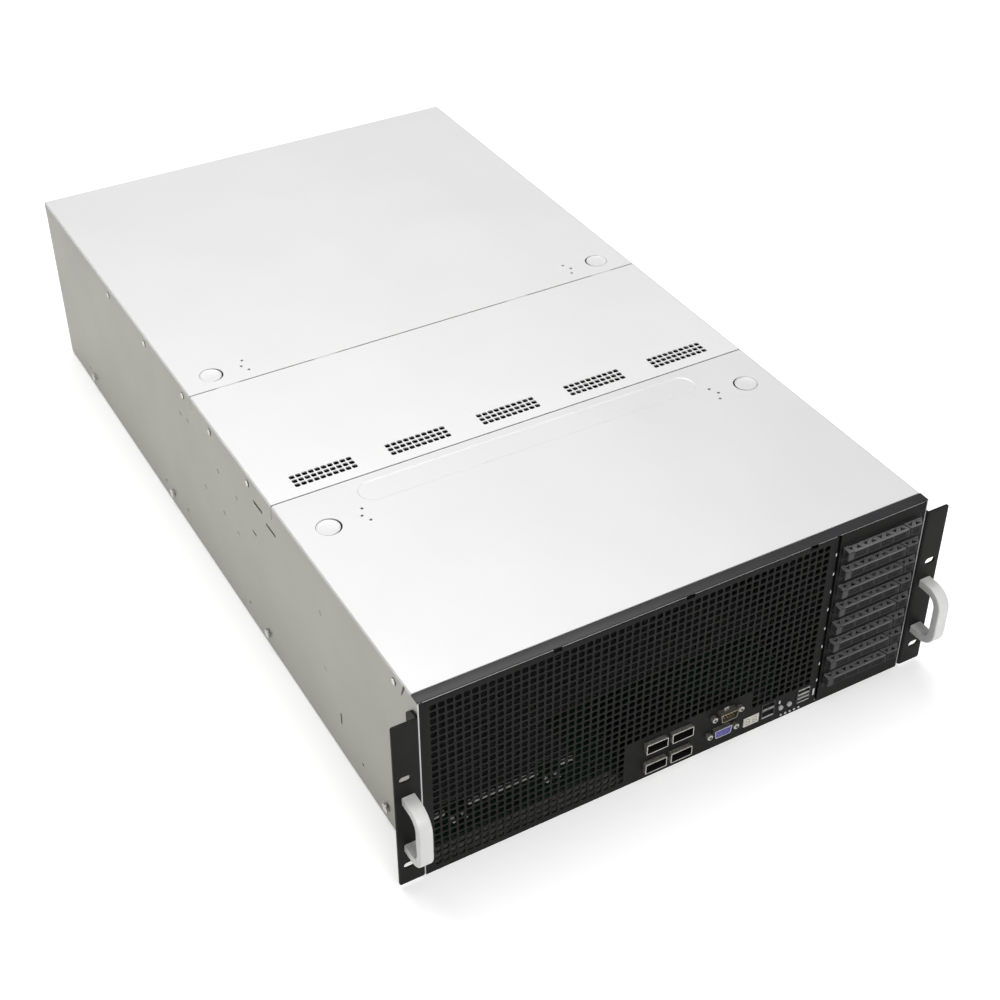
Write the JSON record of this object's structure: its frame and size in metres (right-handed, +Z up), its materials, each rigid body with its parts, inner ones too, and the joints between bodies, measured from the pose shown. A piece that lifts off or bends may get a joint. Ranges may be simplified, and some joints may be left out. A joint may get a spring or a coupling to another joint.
{
  "type": "rack server",
  "caption": "Rack server case with perforated front, hot-swap drive bay, lift-off top covers, fan wall, accelerator cards and pull-out power supplies.",
  "frame": {"origin": "centre of the bounding box in plan, at its lowest point (the underside of the case)", "axes": "+X to the right seen from the front, +Y from the front to the back (the front with the handles faces -Y), +Z up"},
  "size_m": [0.4826, 0.8544, 0.1755],
  "materials": {
    "case_paint": "satin",
    "inner_steel": "satin",
    "cover_paint": "satin",
    "front_black": "matte",
    "ear_black": "matte",
    "handle_silver": "satin",
    "screw_steel": "satin",
    "tray_bezel": "matte",
    "lever_plastic": "matte",
    "board_green": "satin",
    "board_black": "satin",
    "sink_aluminium": "satin",
    "cage_nickel": "satin",
    "serial_metal": "satin",
    "video_blue": "satin",
    "display_cream": "gloss",
    "button_dark": "satin",
    "light_clear": "gloss",
    "fan_black": "satin",
    "rotor_black": "satin",
    "card_dark": "satin",
    "supply_steel": "satin"
  },
  "bodies": {
    "case": {"chassis_tray": "case_paint", "deck_plate": "inner_steel", "rear_panel": "inner_steel", "front_mesh_panel": "front_black", "front_top_strip": "front_black", "drive_bay_frame": "front_black", "drive_cage": "inner_steel", "drive_backplane": "board_green", "top_cover_middle": "cover_paint", "rack_ear_left": "ear_black", "rack_ear_right": "ear_black", "handle_left": "handle_silver", "handle_right": "handle_silver", "handle_screws": "screw_steel", "rail_studs": "screw_steel", "motherboard": "board_green", "processor_heat_sinks": "sink_aluminium", "memory_modules": "board_black", "network_cages": "cage_nickel", "serial_port": "serial_metal", "video_port": "video_blue", "port_jackscrews": "screw_steel", "stacked_ports": "cage_nickel", "code_display": "display_cream", "status_lights": "light_clear", "fan_wall": "inner_steel", "fan_frames": "fan_black", "accelerator_board": "board_black", "accelerator_cards": "card_dark", "power_cage": "inner_steel", "power_board": "board_green"},
    "front_cover": {"top_cover_front": "cover_paint"},
    "rear_cover": {"top_cover_rear": "cover_paint"},
    "tray_1": {"drive_tray_1": "tray_bezel"},
    "lever_1": {"tray_lever_1": "lever_plastic"},
    "tray_2": {"drive_tray_2": "tray_bezel"},
    "lever_2": {"tray_lever_2": "lever_plastic"},
    "tray_3": {"drive_tray_3": "tray_bezel"},
    "lever_3": {"tray_lever_3": "lever_plastic"},
    "tray_4": {"drive_tray_4": "tray_bezel"},
    "lever_4": {"tray_lever_4": "lever_plastic"},
    "tray_5": {"drive_tray_5": "tray_bezel"},
    "lever_5": {"tray_lever_5": "lever_plastic"},
    "tray_6": {"drive_tray_6": "tray_bezel"},
    "lever_6": {"tray_lever_6": "lever_plastic"},
    "tray_7": {"drive_tray_7": "tray_bezel"},
    "lever_7": {"tray_lever_7": "lever_plastic"},
    "tray_8": {"drive_tray_8": "tray_bezel"},
    "lever_8": {"tray_lever_8": "lever_plastic"},
    "power_key": {"power_button": "button_dark"},
    "identify_key": {"identify_button": "button_dark"},
    "rotor_1": {"fan_rotor_1": "rotor_black"},
    "rotor_2": {"fan_rotor_2": "rotor_black"},
    "rotor_3": {"fan_rotor_3": "rotor_black"},
    "rotor_4": {"fan_rotor_4": "rotor_black"},
    "rotor_5": {"fan_rotor_5": "rotor_black"},
    "supply_1": {"power_supply_1": "supply_steel"},
    "supply_2": {"power_supply_2": "supply_steel"},
    "supply_3": {"power_supply_3": "supply_steel"},
    "supply_4": {"power_supply_4": "supply_steel"}
  },
  "joints": [
    {"name": "front_cover_lift", "type": "slide", "parent": "case", "child": "front_cover", "axis": [0, 0, 1], "range_m": [0, 0.06]},
    {"name": "rear_cover_slide", "type": "slide", "parent": "case", "child": "rear_cover", "axis": [0, 1, 0], "range_m": [0, 0.33]},
    {"name": "tray_1_slide", "type": "slide", "parent": "case", "child": "tray_1", "axis": [0, -1, 0], "range_m": [0, 0.12]},
    {"name": "tray_2_slide", "type": "slide", "parent": "case", "child": "tray_2", "axis": [0, -1, 0], "range_m": [0, 0.12]},
    {"name": "tray_3_slide", "type": "slide", "parent": "case", "child": "tray_3", "axis": [0, -1, 0], "range_m": [0, 0.12]},
    {"name": "tray_4_slide", "type": "slide", "parent": "case", "child": "tray_4", "axis": [0, -1, 0], "range_m": [0, 0.12]},
    {"name": "tray_5_slide", "type": "slide", "parent": "case", "child": "tray_5", "axis": [0, -1, 0], "range_m": [0, 0.12]},
    {"name": "tray_6_slide", "type": "slide", "parent": "case", "child": "tray_6", "axis": [0, -1, 0], "range_m": [0, 0.12]},
    {"name": "tray_7_slide", "type": "slide", "parent": "case", "child": "tray_7", "axis": [0, -1, 0], "range_m": [0, 0.12]},
    {"name": "tray_8_slide", "type": "slide", "parent": "case", "child": "tray_8", "axis": [0, -1, 0], "range_m": [0, 0.12]},
    {"name": "lever_1_hinge", "type": "hinge", "parent": "tray_1", "child": "lever_1", "pos_m": [0.1426, -0.40105, 0.1556], "axis": [0, 0, -1], "range_deg": [0, 40]},
    {"name": "lever_2_hinge", "type": "hinge", "parent": "tray_2", "child": "lever_2", "pos_m": [0.1426, -0.40105, 0.1368], "axis": [0, 0, -1], "range_deg": [0, 40]},
    {"name": "lever_3_hinge", "type": "hinge", "parent": "tray_3", "child": "lever_3", "pos_m": [0.1426, -0.40105, 0.118], "axis": [0, 0, -1], "range_deg": [0, 40]},
    {"name": "lever_4_hinge", "type": "hinge", "parent": "tray_4", "child": "lever_4", "pos_m": [0.1426, -0.40105, 0.0992], "axis": [0, 0, -1], "range_deg": [0, 40]},
    {"name": "lever_5_hinge", "type": "hinge", "parent": "tray_5", "child": "lever_5", "pos_m": [0.1426, -0.40105, 0.0804], "axis": [0, 0, -1], "range_deg": [0, 40]},
    {"name": "lever_6_hinge", "type": "hinge", "parent": "tray_6", "child": "lever_6", "pos_m": [0.1426, -0.40105, 0.0616], "axis": [0, 0, -1], "range_deg": [0, 40]},
    {"name": "lever_7_hinge", "type": "hinge", "parent": "tray_7", "child": "lever_7", "pos_m": [0.1426, -0.40105, 0.0428], "axis": [0, 0, -1], "range_deg": [0, 40]},
    {"name": "lever_8_hinge", "type": "hinge", "parent": "tray_8", "child": "lever_8", "pos_m": [0.1426, -0.40105, 0.024], "axis": [0, 0, -1], "range_deg": [0, 40]},
    {"name": "power_button_press", "type": "slide", "parent": "case", "child": "power_key", "axis": [0, 1, 0], "range_m": [0, 0.001], "stiffness_N_per_m": 300},
    {"name": "identify_button_press", "type": "slide", "parent": "case", "child": "identify_key", "axis": [0, 1, 0], "range_m": [0, 0.001], "stiffness_N_per_m": 300},
    {"name": "rotor_1_spin", "type": "hinge", "parent": "case", "child": "rotor_1", "pos_m": [-0.1666, -0.09885, 0.1052], "axis": [0, 1, 0], "continuous": true},
    {"name": "rotor_2_spin", "type": "hinge", "parent": "case", "child": "rotor_2", "pos_m": [-0.0833, -0.09885, 0.1052], "axis": [0, 1, 0], "continuous": true},
    {"name": "rotor_3_spin", "type": "hinge", "parent": "case", "child": "rotor_3", "pos_m": [0, -0.09885, 0.1052], "axis": [0, 1, 0], "continuous": true},
    {"name": "rotor_4_spin", "type": "hinge", "parent": "case", "child": "rotor_4", "pos_m": [0.0833, -0.09885, 0.1052], "axis": [0, 1, 0], "continuous": true},
    {"name": "rotor_5_spin", "type": "hinge", "parent": "case", "child": "rotor_5", "pos_m": [0.1666, -0.09885, 0.1052], "axis": [0, 1, 0], "continuous": true},
    {"name": "supply_1_slide", "type": "slide", "parent": "case", "child": "supply_1", "axis": [0, 1, 0], "range_m": [0, 0.15]},
    {"name": "supply_2_slide", "type": "slide", "parent": "case", "child": "supply_2", "axis": [0, 1, 0], "range_m": [0, 0.15]},
    {"name": "supply_3_slide", "type": "slide", "parent": "case", "child": "supply_3", "axis": [0, 1, 0], "range_m": [0, 0.15]},
    {"name": "supply_4_slide", "type": "slide", "parent": "case", "child": "supply_4", "axis": [0, 1, 0], "range_m": [0, 0.15]}
  ]
}
